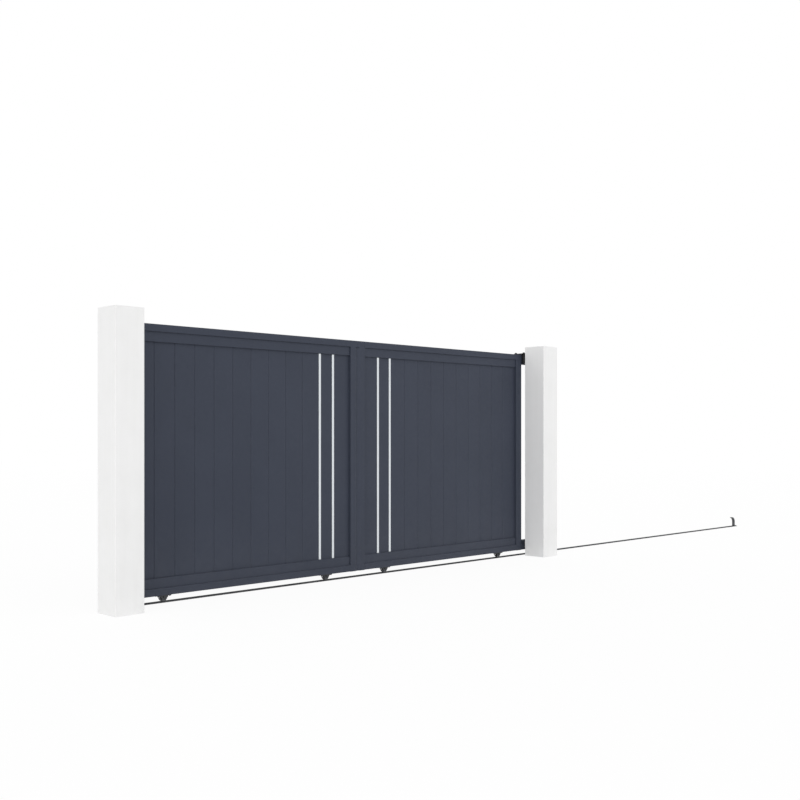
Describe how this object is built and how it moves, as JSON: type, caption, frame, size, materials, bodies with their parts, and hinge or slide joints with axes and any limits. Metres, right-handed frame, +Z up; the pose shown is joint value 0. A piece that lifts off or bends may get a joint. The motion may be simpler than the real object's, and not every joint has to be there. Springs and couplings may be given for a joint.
{
  "type": "sliding driveway gate",
  "caption": "Boarded sliding driveway gate on grooved wheels, with its pillars, ground rail, top guide, receiving channel and end stop; the leaf slides behind the right pillar.",
  "frame": {"origin": "centre of the closing (left) pillar's foot, on the ground", "axes": "+X along the gate in the opening direction, +Y from the street into the yard, +Z up"},
  "size_m": [8.35, 0.3468, 1.875],
  "materials": {
    "pillar": "smooth painted render",
    "ground_rail": "galvanised, dulled, bright on the bead",
    "stop": "painted flat bar",
    "receiver": "fine satin powder coat",
    "buffer": "matt rubber",
    "guide": "black paint",
    "roller": "black nylon",
    "leaf_frame": "fine satin powder coat, anthracite",
    "boards": "fine satin powder coat, anthracite",
    "strip": "brushed lengthwise",
    "carriage": "painted plate",
    "axle": "blackened, dulled by oil and road dirt",
    "wheel": "turned steel"
  },
  "bodies": {
    "fixed": {"left_pillar": "pillar", "right_pillar": "pillar", "ground_rail_1": "ground_rail", "ground_rail_2": "ground_rail", "open_end_stop": "stop", "receiving_channel": "receiver", "receiving_buffer": "buffer", "guide_bracket": "guide", "guide_roller_1": "roller", "guide_roller_2": "roller", "guide_roller_3": "roller", "guide_roller_4": "roller"},
    "leaf": {"left_stile": "leaf_frame", "meeting_stile_left": "leaf_frame", "meeting_stile_right": "leaf_frame", "right_stile": "leaf_frame", "tail_stile": "leaf_frame", "top_rail_left": "leaf_frame", "top_rail_right": "leaf_frame", "top_rail_tail": "leaf_frame", "bottom_rail_left": "leaf_frame", "bottom_rail_right": "leaf_frame", "bottom_rail_tail": "leaf_frame", "upper_channel_left": "leaf_frame", "upper_channel_right": "leaf_frame", "lower_channel_left": "leaf_frame", "lower_channel_right": "leaf_frame", "left_boards": "boards", "right_boards": "boards", "bright_strip_1": "strip", "bright_strip_2": "strip", "bright_strip_3": "strip", "bright_strip_4": "strip", "wheel_carriage_1": "carriage", "wheel_axle_1": "axle", "wheel_carriage_2": "carriage", "wheel_axle_2": "axle", "wheel_carriage_3": "carriage", "wheel_axle_3": "axle", "wheel_carriage_4": "carriage", "wheel_axle_4": "axle"},
    "wheel_1": {"wheel_1": "wheel"},
    "wheel_2": {"wheel_2": "wheel"},
    "wheel_3": {"wheel_3": "wheel"},
    "wheel_4": {"wheel_4": "wheel"}
  },
  "joints": [
    {"name": "leaf_slide", "type": "slide", "parent": "fixed", "child": "leaf", "axis": [1, 0, 0], "range_m": [0, 3.781]},
    {"name": "wheel_1_turn", "type": "hinge", "parent": "leaf", "child": "wheel_1", "pos_m": [0.407, 0.175, 0.038], "axis": [0, 1, 0], "continuous": true},
    {"name": "wheel_2_turn", "type": "hinge", "parent": "leaf", "child": "wheel_2", "pos_m": [1.809, 0.175, 0.038], "axis": [0, 1, 0], "continuous": true},
    {"name": "wheel_3_turn", "type": "hinge", "parent": "leaf", "child": "wheel_3", "pos_m": [2.421, 0.175, 0.038], "axis": [0, 1, 0], "continuous": true},
    {"name": "wheel_4_turn", "type": "hinge", "parent": "leaf", "child": "wheel_4", "pos_m": [3.823, 0.175, 0.038], "axis": [0, 1, 0], "continuous": true}
  ],
  "couplings": [
    {"joint": "wheel_1_turn", "follows": "leaf_slide", "rad_per_m": 37.453},
    {"joint": "wheel_2_turn", "follows": "leaf_slide", "rad_per_m": 37.453},
    {"joint": "wheel_3_turn", "follows": "leaf_slide", "rad_per_m": 37.453},
    {"joint": "wheel_4_turn", "follows": "leaf_slide", "rad_per_m": 37.453}
  ]
}
